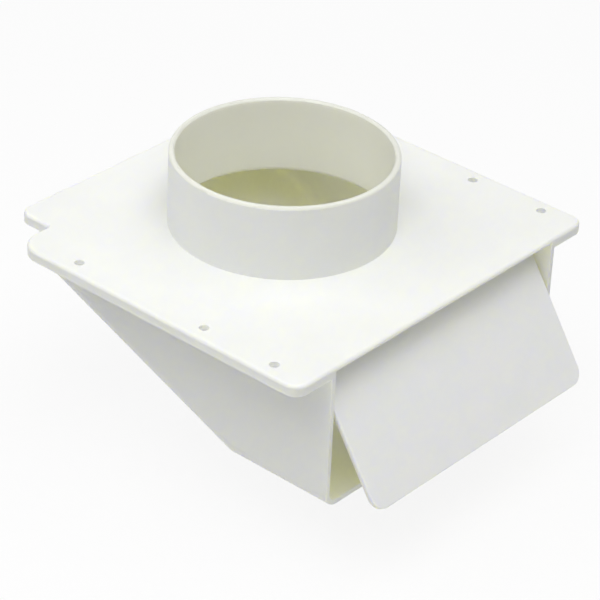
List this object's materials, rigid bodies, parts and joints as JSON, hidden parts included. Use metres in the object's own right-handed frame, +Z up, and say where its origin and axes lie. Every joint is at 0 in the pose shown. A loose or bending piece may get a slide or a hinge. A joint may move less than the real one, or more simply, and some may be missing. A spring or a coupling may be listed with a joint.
{
  "type": "under eave vent",
  "caption": "White plastic under eave vent: a round duct collar on a lipped soffit plate, and below it a wedge-shaped hood whose front mouth is covered by a hinged flap.",
  "frame": {"origin": "on the axis of the duct collar, at the top face of the mounting plate that lies against the soffit", "axes": "+Z up along the collar, +X forward towards the mouth, Y across the plate"},
  "size_m": [0.2067, 0.1924, 0.1055],
  "materials": {
    "housing_plastic": "white moulded plastic with a fine satin surface",
    "flap_plastic": "white moulded plastic with a fine satin surface"
  },
  "bodies": {
    "housing": {"housing": "housing_plastic"},
    "flap": {"damper_flap": "flap_plastic"}
  },
  "joints": [
    {"name": "flap_swing", "type": "hinge", "parent": "housing", "child": "flap", "pos_m": [0.0825, 0, -0.008], "axis": [0, -1, 0], "range_deg": [-20.9, 56]}
  ]
}
